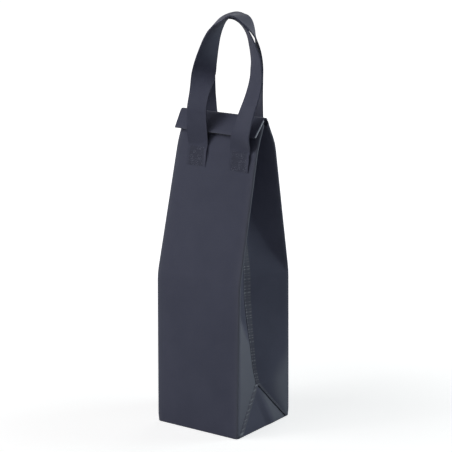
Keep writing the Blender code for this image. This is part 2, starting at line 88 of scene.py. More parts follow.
# Height and depth at which each panel bends towards the mouth, and the front panel's depth at its top
FRONT_SHOULDER = (306.0 * MM, 14.5 * MM)
FRONT_MOUTH = 2.2 * MM
BACK_SHOULDER = (308.0 * MM, 20.0 * MM)

# The upright corners, which widen near the ground, and the quarter circle where the walls turn under
CORNER_RADIUS = 1.8 * MM
GROUND_CORNER = 3.4 * MM
GROUND_RISE = 9.0 * MM
FOOT_RADIUS = 1.0 * MM

# The outline from the front: wider at the crease, drawn in at the mouth, and swayed sideways
WAIST_SWELL = 1.0 * MM
MOUTH_DRAW = 2.0 * MM
WAIST_SWAY = -1.2 * MM
MOUTH_SWAY = 2.0 * MM
# The step between the wrapped sheets' rows, and the height over which the gussets' rows close up
ROW_STEP = 3.0 * MM
CLOSING = 20.0 * MM
# How much each panel swells like a pillow below its crease, and the share of that above it
BELLY = 1.6 * MM
UPPER_BELLY = 0.6

# The side triangles: the height of their tip, half their foot, and the groove along the back slanted edge
TIP_HEIGHT = 46.0 * MM
TRIANGLE_FOOT = 43.1 * MM
SLANT_GROOVE = 0.4 * MM
# The triangle's ridge at the ground, behind the middle, and how far it stands out
RIDGE = 15.0 * MM
RIDGE_SWELL = 2.2 * MM

# The back gusset's crease: its height at the corner, its rise to the seam and its depth
BACK_CREASE_FOOT = 170.0 * MM
BACK_CREASE_RISE = 93.5 * MM
BACK_CREASE_DEPTH = 8.0 * MM
# The front gusset's crease: its height at the corner and its fall to the seam, both in millimetres, and
# how deep the cloth is pushed in above it
FRONT_CREASE_TOP = 131.0
FRONT_CREASE_FALL = 40.0
FRONT_CREASE_DEPTH = 5.0 * MM

# How far the side seams are tucked in, at each height, and how far they sit behind the middle
RECESS_HEIGHTS = np.array([46.0, 60.0, 75.0, 95.0, 115.0, 140.0, 170.0, 190.0, 230.0, 280.0, 322.0]) * MM
RECESSES = np.array([10.0, 13.5, 15.0, 16.5, 19.5, 23.0, 23.0, 25.0, 33.0, 42.5, 47.5]) * MM
SEAM_HEIGHTS = np.array([0.0, 46.0, 100.0, 175.0, 250.0, 322.0]) * MM
SEAM_SHIFTS = np.array([0.0, 1.2, -3.2, -4.2, 0.0, 0.0]) * MM
# How far each lining stops short of the seam's plane, and the fabric
SLACK = 0.9 * MM
FABRIC_SLACK = 0.2 * MM
# The share by which the lining is drawn in at the mouth, under the fold
LINING_TUCK = 0.13

# The flap: its hem's ends, its run past the fold and its fall below the level there, at both ends
FLAP_LEFT = -53.1 * MM
FLAP_RIGHT = 50.1 * MM
FLAP_RUN_LEFT = 20.5 * MM
FLAP_RUN_RIGHT = 22.3 * MM
FLAP_ANGLE_LEFT = math.radians(55.0)
FLAP_ANGLE_RIGHT = math.radians(51.0)
# How far the fold's left end stands out past the panel
FOLD_REACH = 5.5 * MM
# The flap's lining: shorter than the fabric, narrower inside the fold, a sliver wider at its right edge
LINING_SHORT = 1.6 * MM
LINING_NARROW = 9.0 * MM
LINING_SLIVER = 1.0 * MM
# Rows of the flap's grid round the fold, and down the run
FOLD_ROWS = 17
RUN_ROWS = 12

# Closure: both tapes are alike; the hook strip's lower edge is on the front panel
CLOSURE_LENGTH = 60.0 * MM
CLOSURE_WIDTH = 8.0 * MM
CLOSURE_THICKNESS = 1.0 * MM
CLOSURE_COLUMNS = 61
CLOSURE_ROWS = 9
HOOK_FOOT = 316.5 * MM
# The loop strip's distance down the flap from the fold's end
LOOP_START = 6.5 * MM

# Straps: width, thickness, and thickness where the end is welded flat
STRAP_WIDTH = 25.0 * MM
STRAP = 1.4 * MM
PAD = 0.7 * MM
PAD_HEIGHT = 22.0 * MM
PAD_TOP = 304.0 * MM
STRAP_COLUMNS = 33
STRAP_ROWS = 241
PAD_ROWS = 56

# Welds: their thickness, the step of their grid, and about how wide the back gusset is beside them
WELD = 0.6 * MM
WELD_STEP = 0.4 * MM
GUSSET_WIDTH = 45.0 * MM
# The foot welds on the front and the back slant: where each starts from the slant and how wide it is, in
# millimetres, then the pitch of its dots in millimetres, their strength and the place of the first row
FOOT_WELDS = (
    ("front", -3.5, 9.0, 4.2, 1.0, 0.5),
    ("back", 0.2, 3.2, 2.6, 0.6, 0.2),
)
# How far the front foot weld's edges are sunk into the cloth
EDGE_SUNK = 1.2 * MM

# Edges that bend by more than this are drawn sharp
SHARP_ANGLE = math.radians(50.0)

# The texture's sizes, common to all the cloths
FIBRE = 0.9 * MM
BLOTCH = 30.0 * MM
PATCH = 5.0 * MM

# The lamps: place, power and colour. Each is a square aimed at one point.
LAMP_SIZE = 1.2
LAMP_TARGET = (0.0, 0.0, 0.22)
WHITE = (1.0, 1.0, 1.0)
LAMPS = (
    ("left", (-1.6, -1.5, 0.9), 17.0, WHITE),
    ("key", (-0.7, -1.7, 1.9), 9.0, WHITE),
    ("right_back", (1.7, 1.7, 0.9), 18.2, (0.9, 1.03, 1.05)),
    ("right", (2.3, 0.3, 0.7), 2.5, (0.87, 1.04, 1.06)),
    ("back", (-0.5, 2.2, 1.4), 5.0, WHITE),
)
# Half the floor's side
FLOOR_HALF = 6.0


def linear(code):
    """An sRGB hex colour as linear RGBA."""
    parts = [int(code[i : i + 2], 16) / 255.0 for i in (1, 3, 5)]
    return tuple(c / 12.92 if c <= 0.04045 else ((c + 0.055) / 1.055) ** 2.4 for c in parts) + (1.0,)


def node(tree, kind, settings=(), links=()):
    """Adds a shader node, with its settings and its input links."""
    made = tree.nodes.new(kind)
    for name, value in dict(settings).items():
        if isinstance(name, str) and hasattr(made, name) and name not in made.inputs:
            setattr(made, name, value)
        else:
            made.inputs[name].default_value = value
    for name, source in dict(links).items():
        tree.links.new(source, made.inputs[name])
    return made


def fabric_material(name, colours, finish, pitch, depth, fleck=None, metallic=0.0):
    """Bonded fibres: a pressed dot at every pitch, fibres between, soft blotches, and a pale colour: painted
    highlight and painted light on the sheets, pressed dots on the welds.

    Colours are the base, its paler blotches and the pale colour, which on the sheets is painted highlight and
    painted light and on the welds the pressed dots; finish is roughness and sheen; depth is that of the
    bumps; a fleck is the colour and pitch of the spots that welding leaves, and the colour melted between
    them. The mesh says where the pale colour is laid on and where it is welded, and how far along and across
    a point is laid.
    """
    made = bpy.data.materials.new(name)
    made.use_nodes = True
    tree = made.node_tree
    shader = tree.nodes["Principled BSDF"]
    laid = node(tree, "ShaderNodeAttribute", {"attribute_name": "laid"}).outputs["Vector"]
    where = node(tree, "ShaderNodeTexCoord").outputs["Object"]
    dots = node(
        tree,
        "ShaderNodeTexVoronoi",
        {"voronoi_dimensions": "2D", "Scale": 1.0 / pitch, "Randomness": 0.25},
        {"Vector": laid},
    )
    fibres = node(tree, "ShaderNodeTexNoise", {"Scale": 1.0 / FIBRE, "Detail": 3.0}, {"Vector": where})
    blotches = node(tree, "ShaderNodeTexNoise", {"Scale": 1.0 / BLOTCH, "Detail": 2.0}, {"Vector": where})
    tone = node(
        tree, "ShaderNodeMapRange", {"From Min": 0.3, "From Max": 0.7}, {"Value": blotches.outputs["Fac"]}
    )
    grain = node(
        tree,
        "ShaderNodeMapRange",
        {"From Min": 0.25, "From Max": 0.75, "To Min": -0.45, "To Max": 0.45},
        {"Value": fibres.outputs["Fac"]},
    )
    both = node(
        tree,
        "ShaderNodeMath",
        {"operation": "ADD", "use_clamp": True},
        {0: tone.outputs["Result"], 1: grain.outputs["Result"]},
    )
    mixed = blended(tree, both.outputs["Value"], linear(colours[0]), linear(colours[1]))
    # The pale colour: painted highlight and painted light on the sheets, pressed dots on the welds
    pale_and_painted_light = node(tree, "ShaderNodeAttribute", {"attribute_name": "pale_and_painted_light"}).outputs["Fac"]
    mixed = blended(tree, pale_and_painted_light, mixed, linear(colours[2]))
    if fleck:
        welded = node(tree, "ShaderNodeAttribute", {"attribute_name": "welded"}).outputs["Fac"]
        mixed = blended(tree, welded, mixed, linear(fleck[2]))
        spots = node(
            tree,
            "ShaderNodeTexVoronoi",
            {"voronoi_dimensions": "2D", "Scale": 1.0 / fleck[1], "Randomness": 0.9},
            {"Vector": laid},
        )
        spot = node(
            tree,
            "ShaderNodeMapRange",
            {"From Min": 0.36, "From Max": 0.1},
            {"Value": spots.outputs["Distance"]},
        )
        patchy = node(tree, "ShaderNodeTexNoise", {"Scale": 1.0 / PATCH, "Detail": 1.0}, {"Vector": where})
        kept = node(
            tree,
            "ShaderNodeMapRange",
            {"From Min": 0.4, "From Max": 0.62, "To Min": 0.05},
            {"Value": patchy.outputs["Fac"]},
        )
        pressed = node(
            tree, "ShaderNodeMath", {"operation": "MULTIPLY"}, {0: kept.outputs["Result"], 1: welded}
        )
        shown = node(
            tree,
            "ShaderNodeMath",
            {"operation": "MULTIPLY"},
            {0: spot.outputs["Result"], 1: pressed.outputs["Value"]},
        )
        mixed = blended(tree, shown.outputs["Value"], mixed, linear(fleck[0]))
    tree.links.new(mixed, shader.inputs["Base Color"])
    height = node(
        tree,
        "ShaderNodeMath",
        {"operation": "MULTIPLY_ADD", 1: 0.6},
        {0: fibres.outputs["Fac"], 2: dots.outputs["Distance"]},
    )
    bump = node(
        tree, "ShaderNodeBump", {"Strength": 0.6, "Distance": depth}, {"Height": height.outputs["Value"]}
    )
    tree.links.new(bump.outputs["Normal"], shader.inputs["Normal"])
    shader.inputs["Roughness"].default_value = finish[0]
    shader.inputs["Sheen Weight"].default_value = finish[1]
    shader.inputs["Sheen Roughness"].default_value = 0.5
    shader.inputs["Metallic"].default_value = metallic
    return made


def blended(tree, factor, low, high):
    """A mix of two colours, each a fixed colour or another node's output, by a factor."""
    mix = node(tree, "ShaderNodeMix", {"data_type": "RGBA"})
    tree.links.new(factor, mix.inputs["Factor"])
    for name, colour in (("A", low), ("B", high)):
        socket = next(each for each in mix.inputs if each.name == name and each.type == "RGBA")
        if isinstance(colour, tuple):
            socket.default_value = colour
        else:
            tree.links.new(colour, socket)
    return next(each for each in mix.outputs if each.type == "RGBA")


def make_materials():
    """The finishes of the bag."""
    return {
        # Spunbond polypropylene: matt, faintly dimpled by the bonding roller; its pale colour is painted
        # highlight and painted light
        "fabric": fabric_material(
            "spunbond_polypropylene", ("#3f4256", "#45485c", "#5f626f"), (0.8, 0.1), 1.2 * MM, 0.07 * MM
        ),
        # Aluminised film on foam: satin grey, crinkled
        "lining": fabric_material(
            "aluminised_foam", ("#8f929c", "#a9acb6", "#b4b7c0"), (0.4, 0.0), 2.6 * MM, 0.3 * MM, metallic=0.5
        ),
        # The same spunbond, melted flat by the welding wheel, with pale spots where it pressed
        "weld": fabric_material(
            "welded_spunbond", ("#3d4050", "#434656", "#a3a6b0"), (0.6, 0.1), 1.2 * MM, 0.03 * MM
        ),
        # Denser spunbond for the straps, stippled where it is welded on
        "strap": fabric_material(
            "spunbond_strap",
            ("#383b50", "#404357", "#565a6c"),
            (0.8, 0.15),
            1.3 * MM,
            0.12 * MM,
            fleck=("#666a7d", 2.0 * MM, "#2f3245"),
        ),
        # Hook and loop tape
        "closure": fabric_material(
            "hook_and_loop_tape", ("#23252e", "#2c2e38", "#2c2e38"), (0.95, 0.3), 0.7 * MM, 0.3 * MM
        ),
    }


def normals_of(grid):
    """Unit normals of a grid of points: along its rows crossed with along its columns."""
    down = np.gradient(grid, axis=0)
    across = np.gradient(grid, axis=1)
    normal = np.cross(across, down)
    return normal / np.maximum(np.linalg.norm(normal, axis=2, keepdims=True), 1e-12)


def sheet_object(name, grid, thickness, material, inset=0.0, flip=False, marks=()):
    """A closed sheet: the grid set in by the inset, and the same grid set in by the thickness more.

    Flipped, it is set in to the other side. Each mark is a name and a value for every point of the grid,
    for the material to read.
    """
    normal = normals_of(grid) * (-1.0 if flip else 1.0)
    outside = grid - normal * inset
    inside = grid - normal * (inset + thickness)
    rows, columns = grid.shape[:2]
    corner = np.arange(rows * columns).reshape(rows, columns)
    skin = np.stack([corner[:-1, :-1], corner[:-1, 1:], corner[1:, 1:], corner[1:, :-1]], -1).reshape(-1, 4)
    rim = np.concatenate([corner[0, :-1], corner[:-1, -1], corner[-1, :0:-1], corner[:0:-1, 0]])
    ahead = np.roll(rim, -1)
    second = rows * columns
    sides = np.stack([ahead, rim, rim + second, ahead + second], -1)
    faces = np.concatenate([skin, skin[:, ::-1] + second, sides])
    if flip:
        faces = faces[:, ::-1]
    points = np.concatenate([outside.reshape(-1, 3), inside.reshape(-1, 3)])
    mesh = bpy.data.meshes.new(name)
    mesh.from_pydata(points.tolist(), [], faces.tolist())
    mesh.polygons.foreach_set("use_smooth", np.ones(len(faces), bool))
    mesh.set_sharp_from_angle(angle=SHARP_ANGLE)
    mesh.materials.append(material)
    mesh.update()
    laid = np.zeros((rows, columns, 3))
    laid[:, 1:, 0] = np.cumsum(np.linalg.norm(np.diff(grid, axis=1), axis=2).mean(axis=0))[None, :]
    laid[1:, :, 1] = np.cumsum(np.linalg.norm(np.diff(grid, axis=0), axis=2).mean(axis=1))[:, None]
    layer = mesh.attributes.new("laid", "FLOAT_VECTOR", "POINT")
    layer.data.foreach_set("vector", np.tile(laid.reshape(-1, 3), (2, 1)).ravel().astype(np.float32))
    for mark, values in dict(marks).items():
        layer = mesh.attributes.new(mark, "FLOAT", "POINT")
        every = np.broadcast_to(values, (rows, columns)).ravel()
        layer.data.foreach_set("value", np.tile(every, 2).astype(np.float32))
    made = bpy.data.objects.new(name, mesh)
    bpy.context.scene.collection.objects.link(made)
    return made


def eased(height, heights, values):
    """A bent line through the given points, with each bend eased over a short height."""
    middle = np.interp(height, heights, values)
    ends = np.interp(height - BEND_EASE, heights, values) + np.interp(height + BEND_EASE, heights, values)
    return (2.0 * middle + ends) / 4.0


def half_width(height):
    """Half the bag's width: it swells at the crease and draws in towards the mouth."""
    middle = BAG_WIDTH / 2.0
    widths = (middle, middle + WAIST_SWELL, middle - MOUTH_DRAW)
    return eased(height, (0.0, CREASE_HEIGHT, FOLD_HEIGHT), widths)


def sway(height):
    """How far the middle of the bag stands to the right of the middle of its base."""
    return eased(height, (0.0, CREASE_HEIGHT, FOLD_HEIGHT), (0.0, WAIST_SWAY, MOUTH_SWAY))


def tangent_angle(centre_x, centre_y, x, y, radius):
    """The angle at which a line from the point touches a circle, on its clockwise side."""
    reach = np.hypot(x - centre_x, y - centre_y)
    return np.arctan2(y - centre_y, x - centre_x) + np.arccos(np.clip(radius / reach, -1.0, 1.0))


# The height of the fold's centre, the angle at which the back panel meets the fold, and that point
FOLD_Z = FOLD_HEIGHT - FOLD_RADIUS
FOLD_ANGLE = float(tangent_angle(FOLD_OFFSET, FOLD_Z, BACK_SHOULDER[1], BACK_SHOULDER[0], FOLD_RADIUS))
FOLD_START = (FOLD_OFFSET + FOLD_RADIUS * math.cos(FOLD_ANGLE), FOLD_Z + FOLD_RADIUS * math.sin(FOLD_ANGLE))


def front_depth(height):
    """How far the front panel stands before the bag's middle plane."""
    heights = (0.0, CREASE_HEIGHT, FRONT_SHOULDER[0], FRONT_TOP)
    return eased(height, heights, (BAG_DEPTH / 2.0, CREASE_FRONT, FRONT_SHOULDER[1], FRONT_MOUTH))


def back_depth(height):
    """How far the back panel stands behind the bag's middle plane."""
    heights = (0.0, CREASE_HEIGHT, BACK_SHOULDER[0], FOLD_START[1])
    return eased(height, heights, (BAG_DEPTH / 2.0, CREASE_BACK, BACK_SHOULDER[1], FOLD_START[0]))


def recess(height):
    """How far the side seam is tucked in from the side of the bag."""
    return eased(height, RECESS_HEIGHTS, RECESSES)


def undercut(height):
    """How far the walls are drawn in near the ground, where they turn under as a quarter circle."""
    left = np.maximum(FOOT_RADIUS - height, 0.0)
    return FOOT_RADIUS - np.sqrt(np.maximum(FOOT_RADIUS**2 - left**2, 0.0))


def wall_width(height):
    """Half the bag's width, drawn in at the ground."""
    return half_width(height) - undercut(height)


def seam_point(height, face, slack=SLACK):
    """Where a sheet ends on the side: on the slanted base seam, then on the upright side seam."""
    risen = np.minimum(height / TIP_HEIGHT, 1.0)
    tucked = np.where(height < TIP_HEIGHT, RECESSES[0] * risen, recess(height))
    shift = face * np.interp(height, SEAM_HEIGHTS, SEAM_SHIFTS)
    return wall_width(height) - tucked, TRIANGLE_FOOT * (1.0 - risen) + (slack + shift) * risen


def corner_radius(height):
    """The radius of the upright corners, which widens near the ground."""
    spread = 1.0 - rising(height / GROUND_RISE)
    return CORNER_RADIUS + (GROUND_CORNER - CORNER_RADIUS) * spread


def side_turn(height, depth, face, radius):
    """The angle at which the corner's arc ends and the straight run to the seam starts."""
    width = wall_width(height)
    x, y = seam_point(height, face)
    return tangent_angle(width - radius, depth - radius, x, y, radius)


def place(x, y, height, side, face):
    """Points on the bag's side or face, mirrored as asked and swayed with the bag."""
    x, y, z = np.broadcast_arrays(x, y, height)
    return np.stack([sway(z) + side * x, face * y, z], -1)


def rising(value):
    """A share that rises smoothly from nought to one."""
    share = np.clip(value, 0.0, 1.0)
    return share * share * (3.0 - 2.0 * share)


def back_crease(u, z):
    """How far the back gusset is pushed in: most along a crease rising from the corner to the seam.

    Here and below, u runs from nought at the corner to one at the seam. Low down the gusset swells out.
    """
    crease = np.clip((z - BACK_CREASE_FOOT) / BACK_CREASE_RISE, 0.05, 0.85)
    depth = BACK_CREASE_DEPTH * rising((z - 160.0 * MM) / (34.0 * MM))
    depth = depth * (1.0 - rising((z - 240.0 * MM) / (80.0 * MM)))
    ramp = np.minimum(u / crease, (1.0 - u) / (1.0 - crease))
    swell = 2.4 * MM * np.minimum(z / TIP_HEIGHT, 1.0) * (1.0 - rising((z - 50.0 * MM) / (70.0 * MM)))
    return depth * (0.6 * ramp + 0.4 * np.sin(ramp * math.pi / 2.0)) - swell * np.sin(u * math.pi)


def crease_line(u):
    """The height of the front gusset's crease, which falls from the corner to the seam."""
    return (FRONT_CREASE_TOP - FRONT_CREASE_FALL * u) * MM


def front_crease(u, z):
    """How far the front gusset is pushed in, above a crease falling from the corner to the seam."""
    above = rising((z - crease_line(u)) / (20.0 * MM)) * (1.0 - rising((z - 190.0 * MM) / (90.0 * MM)))
    return FRONT_CREASE_DEPTH * above * rising(u / 0.45) * rising((1.0 - u) / 0.4)


def front_painted_light(u, z):
    """Painted light on the front gusset: paler below its crease, standing in for the light it catches there
    from the right and behind.
    """
    below = 1.0 - rising((z - crease_line(u) + 4.0 * MM) / (8.0 * MM))
    return 0.95 * below * rising(u / 0.15) * (0.5 + 0.5 * rising(z / TIP_HEIGHT))


def back_painted_light(u, z):
    """Painted light on the back gusset: paler at its foot, below a line falling from the corner to the seam.
    """
    edge = (72.0 - 55.0 * u) * MM
    return (1.0 - rising((u - 0.3) / 0.7)) * (1.0 - rising((z - edge + 18.0 * MM) / (36.0 * MM)))


def wrapped_grid(depth_at, face, heights, top, fold, painted_light_of, slack, tuck):
    """A sheet wrapped round half the bag: gusset, corner arc, panel, corner arc, gusset.

    Rows run up the bag; the gussets end at their own top, so their rows close up near it. The panel swells
    like a shallow pillow, and each gusset is pushed in by its fold. The whole sheet is drawn in by the tuck
    near its top. Gives the grid, and how pale each of its points is painted: a painted highlight along the
    corners, and painted light on the gussets.
    """
    # Points along each gusset, round each corner's arc and across the panel
    runs, arc, columns = 29, 6, 41
    count = 2 * (runs + arc) + columns - 2
    # How far each column is from the panel, as a share of the gusset, by which its rows close up
    gusset = np.zeros(count)
    gusset[: runs + arc] = np.linspace(runs + arc, 1, runs + arc) / (arc + 1.0)
    gusset = np.clip(np.maximum(gusset, gusset[::-1]), 0.0, 1.0)[None, :]
    low = heights[:, None]
    level = GUSSET_TOP - CLOSING
    share = np.maximum(low - level, 0.0) / (top - level)
    z = low + gusset * share * (GUSSET_TOP - top)
    grid = np.zeros((len(heights), count, 3))
    middle = slice(runs + arc, count - runs - arc)
    flat = np.linspace(-1.0, 1.0, columns)[None, 1:-1]
    zm = z[:, middle]
    rise = np.sin(np.pi * np.clip(zm / CREASE_HEIGHT, 0.0, 1.0))
    above = np.clip((zm - CREASE_HEIGHT) / (FRONT_TOP - CREASE_HEIGHT), 0.0, 1.0)
    rise = rise + UPPER_BELLY * np.sin(np.pi * above)
    flat_y = depth_at(zm) - undercut(zm) + BELLY * (1.0 - flat**2) * rise
    grid[:, middle] = place(flat * (wall_width(zm) - corner_radius(zm)), flat_y, zm, 1.0, face)
    # The upright corners are painted pale: a painted highlight along each corner, which also lifts the dark
    # band the lamps leave there
    step = np.abs(np.arange(count) - (count - 1) / 2.0)
    pale_and_painted_light = 0.9 * np.exp(-(((step - (columns - 1) / 2.0 - arc / 2.0) / 3.0) ** 2))
    pale_and_painted_light = pale_and_painted_light[None, :] * np.ones_like(z)
    for side in (-1.0, 1.0):
        zs = z[:, : runs + arc][:, ::-1]
        width, depth = wall_width(zs), depth_at(zs) - undercut(zs)
        radius = corner_radius(zs)
        last = side_turn(zs, depth, face, radius)
        step = np.minimum(np.arange(runs + arc) / arc, 1.0)[None, :]
        turn = math.pi / 2.0 + (last - math.pi / 2.0) * step
        x = width - radius + radius * np.cos(turn)
        y = depth - radius + radius * np.sin(turn)
        u = np.clip((np.arange(runs + arc) - arc) / (runs - 1.0), 0.0, 1.0)[None, :]
        end_x, end_y = seam_point(zs, face, slack)
        x = x + u * (end_x - x) - fold(u, zs)
        y = y + u * (end_y - y)
        half = place(x, y, zs, side, face)
        # Painted light on each gusset
        painted_paleness = painted_light_of(u, zs)
        if side < 0:
            grid[:, : runs + arc] = half[:, ::-1]
            pale_and_painted_light[:, : runs + arc] += painted_paleness[:, ::-1]
        else:
            grid[:, count - runs - arc :] = half
            pale_and_painted_light[:, count - runs - arc :] += painted_paleness
    middle_x = sway(z)
    drawn = 1.0 - tuck * rising((z - GUSSET_TOP + 8.0 * MM) / (10.0 * MM))
    grid[..., 0] = middle_x + (grid[..., 0] - middle_x) * drawn
    return grid, np.clip(pale_and_painted_light, 0.0, 1.0)


def heights_between(low, high, step, extra=()):
    """Heights from low to high at about the given step, with the extra ones that lie between."""
    count = int(math.ceil((high - low) / step))
    inside = [z for z in extra if low < z < high]
    return np.array(sorted({*np.linspace(low, high, count + 1).tolist(), *inside}))


def ground_turns():
    """Heights at which the rows of a wall stand close, where it turns under at the ground."""
    return FOOT_RADIUS * (1.0 - np.cos(np.linspace(0.0, math.pi / 2.0, 8)))


def flap_grid(short=0.0, narrow=0.0, sliver=0.0, count=53):
    """The round fold over the mouth and the flap that runs on from it.

    The run can be cut short, the fold made narrow where it starts, and the hem a sliver wider at its
    right end. The rows run from the back over the fold to the hem, each with the same count of points.
    """
    share = np.linspace(0.0, 1.0, count)
    angle = FLAP_ANGLE_LEFT + (FLAP_ANGLE_RIGHT - FLAP_ANGLE_LEFT) * share
    run = FLAP_RUN_LEFT + (FLAP_RUN_RIGHT - FLAP_RUN_LEFT) * share - short
    half = float(half_width(FOLD_HEIGHT)) - 0.4 * MM
    middle = float(sway(FOLD_HEIGHT))
    panel_x = middle + np.linspace(-half, half, count)
    flap_x = np.linspace(FLAP_LEFT, FLAP_RIGHT + sliver, count)
    ends = rising((share - 0.92) / 0.08)
    rows = []
    for step in np.linspace(0.0, 1.0, FOLD_ROWS):
        turn = FOLD_ANGLE + (math.pi / 2.0 + angle - FOLD_ANGLE) * step
        radius = FOLD_RADIUS - 0.3 * MM * ends * math.sin(math.pi * step**0.8)
        x = panel_x - FOLD_REACH * (1.0 - share) ** 3 * float(rising(step / 0.6))
        x = x + (middle - x) * (narrow * (1.0 - float(rising((step - 0.55) / 0.45))) / half)
        y, z = FOLD_OFFSET + radius * np.cos(turn), FOLD_Z + radius * np.sin(turn)
        rows.append(np.stack([x, y, z], -1))
    last = rows[-1]
    direction = np.stack([np.zeros(count), -np.sin(math.pi / 2.0 + angle), np.cos(math.pi / 2.0 + angle)], -1)
    for step in np.linspace(0.0, 1.0, RUN_ROWS + 1)[1:]:
        row = last + direction * (run * step)[:, None]
        row[:, 0] += (flap_x - last[:, 0]) * step
        rows.append(row)
    return np.array(rows)


def make_body(materials):
    """The wrapped sheets of the bag and its flap, each with its lining."""
    marks = (*ground_turns(), CREASE_HEIGHT - BEND_EASE, CREASE_HEIGHT, CREASE_HEIGHT + BEND_EASE, TIP_HEIGHT)
    for layer, inset, thickness in LAYERS:
        loose = layer == "lining"
        slack = SLACK if loose else FABRIC_SLACK
        tuck = LINING_TUCK if loose else 0.0
        foot = LAMINATE + GAP if loose else 0.0
        for name, depth_at, face, top, fold, painted_light_of in (
            ("front", front_depth, -1.0, FRONT_TOP, front_crease, front_painted_light),
            ("back", back_depth, 1.0, FOLD_START[1], back_crease, back_painted_light),
        ):
            heights = heights_between(foot, top, ROW_STEP, marks)
            grid, pale_and_painted_light = wrapped_grid(depth_at, face, heights, top, fold, painted_light_of, slack, tuck)
            # The mark carries the painted highlight on the corners and the painted light on the gussets
            made = sheet_object(
                f"{name}_sheet_{layer}", grid, thickness, materials[layer], inset, face > 0, {"pale_and_painted_light": pale_and_painted_light}
            )
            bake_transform(made)
            nodes = [f"{name}_{layer}_{part}" for part in ("lower", "upper")]
            nodes += [f"{side}_gusset_{name}_{layer}" for side in ("left", "right")]
            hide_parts(*nodes)
        grid = flap_grid(LINING_SHORT, LINING_NARROW, LINING_SLIVER) if loose else flap_grid()
        # The fabric's hem is pale over its last rows; the lining thins towards it
        rows = grid.shape[0]
        hem = rising((np.arange(rows) - (rows - 2.6)) / 1.6)[:, None] * (0.0 if loose else 0.35)
        taper = np.linspace(1.0, 0.8 if loose else 1.0, rows)[:, None, None]
        made = sheet_object(
            f"flap_{layer}_sheet", grid, thickness * taper, materials[layer], inset, True, {"pale_and_painted_light": hem}
        )
        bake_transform(made)
        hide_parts(f"flap_{layer}")


def base_grid(inner, height):
    """The base: a flat sheet with rounded corners, set in from the walls and up from the ground.

    Gives the grid, and half its width and its depth.
    """
    half = BAG_WIDTH / 2.0 - FOOT_RADIUS - inner
    deep = BAG_DEPTH / 2.0 - FOOT_RADIUS - inner
    radius = GROUND_CORNER - FOOT_RADIUS
    y = deep * np.sin(np.linspace(-1.0, 1.0, 41)[:, None] * math.pi / 2.0)
    past = np.maximum(0.0, np.abs(y) - (deep - radius))
    reach = half - radius + np.sqrt(np.maximum(radius**2 - past**2, 0.0))
    x = np.linspace(-1.0, 1.0, 31)[None, :] * reach
    return np.stack([x, y + 0.0 * x, np.full_like(x, height)], -1), half, deep


def triangle_grid(foot, inner, side):
    """A side triangle: it leans in with the base seams and stands out along a ridge from its tip.

    Gives the grid, and how far behind the ridge each point is.
    """
    z = heights_between(inner, TIP_HEIGHT - 1.0 * MM, 2.0 * MM, ground_turns())[:, None]
    rise = z / TIP_HEIGHT
    across = np.linspace(-1.0, 1.0, 61)[None, :]
    reach = foot * (1.0 - rise)
    groove = SLANT_GROOVE * (1.0 + 0.8 * np.sin(z / (1.3 * MM)))
    y = across * (reach - np.where(across > 0.0, groove, -0.2 * MM)) + SEAM_SHIFTS[1] * rise
    ridge = RIDGE * (1.0 - rise)
    before = rising((y - ridge + 11.0 * MM) / (11.0 * MM))
    behind = np.clip((reach - y) / (reach - ridge + MM), 0.0, 1.0)
    tapered = np.sin(math.pi * np.clip(rise, 0.0, 1.0) ** 0.5)
    swell = RIDGE_SWELL * np.where(y < ridge, before, behind) * tapered
    x = wall_width(z) - RECESSES[0] * rise + sway(z) * side + swell
    return np.stack([side * x, y, z + 0.0 * across], -1), y - ridge


def make_base(materials):
    """The base sheet and its two side triangles, folded up."""
    foot = TRIANGLE_FOOT - 1.0 * MM
    for layer, inset, thickness in LAYERS:
        inner = LAMINATE + GAP if layer == "lining" else 0.0
        grid, half, deep = base_grid(inner, inset)
        made = sheet_object(f"base_sheet_{layer}", grid, thickness, materials[layer], flip=True)
        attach(made, "box")
        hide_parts(f"base_{layer}")
        for where, side in (("left", -1.0), ("right", 1.0)):
            grid, past_ridge = triangle_grid(foot, inner, side)
            # Painted light: each triangle is painted paler behind its ridge, where it turns to the lamps on
            # the right
            painted_paleness = rising(past_ridge / (9.0 * MM)) * (1.0 if layer == "fabric" else 0.0)
            marks = {"pale_and_painted_light": painted_paleness}
            made = sheet_object(
                f"{where}_triangle_{layer}", grid, thickness, materials[layer], inset, side < 0, marks
            )
            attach(made, "box")


# Stations of each strap at even shares of its way: x and z in millimetres, and the turn in degrees
STRAP_SHARES = np.linspace(0.0, 1.0, 11)
FRONT_STRAP = np.array(
    [
        (-21.5, -19.7, -16.3, -13.3, -12.1, -0.2, 21.8, 43.3, 52.1, 43.9, 32.8),
        (304.0, 336.3, 367.3, 390.9, 416.9, 435.7, 429.4, 404.2, 377.2, 340.8, 304.0),
        (0.0, 0.0, 8.0, 61.0, 87.5, 111.9, 130.3, 141.2, 154.3, 159.6, 180.0),
    ]
)
BACK_STRAP = np.array(
    [
        (-27.0, -37.3, -37.4, -29.7, -19.7, 5.2, 23.5, 36.6, 36.1, 30.6, 27.0),
        (304.0, 333.8, 365.0, 395.0, 423.6, 438.6, 439.7, 418.6, 380.6, 343.0, 304.0),
        (0.0, 18.9, 54.2, 96.3, 115.5, 127.3, 95.2, 126.5, 137.7, 147.3, 180.0),
    ]
)
# How far before or behind the middle each strap hangs at each height, in millimetres: left leg, right leg
FRONT_HEIGHTS = (303.0, 308.0, 317.0, 322.0, 330.0, 345.0, 390.0, 425.0, 440.0)
FRONT_HANG = (
    (FRONT_HEIGHTS, (-15.6, -16.5, -18.4, -19.4, -20.4, -22.0, -14.0, 2.0, 7.0)),
    (FRONT_HEIGHTS, (-15.6, -17.2, -21.6, -22.4, -22.7, -22.8, -14.0, 2.0, 7.0)),
)
BACK_HEIGHTS = (303.0, 308.0, 319.0, 345.0, 390.0, 425.0, 442.0)
BACK_HANG = ((BACK_HEIGHTS, (20.6, 20.6, 20.2, 19.0, 13.0, 4.0, -1.0)),) * 2


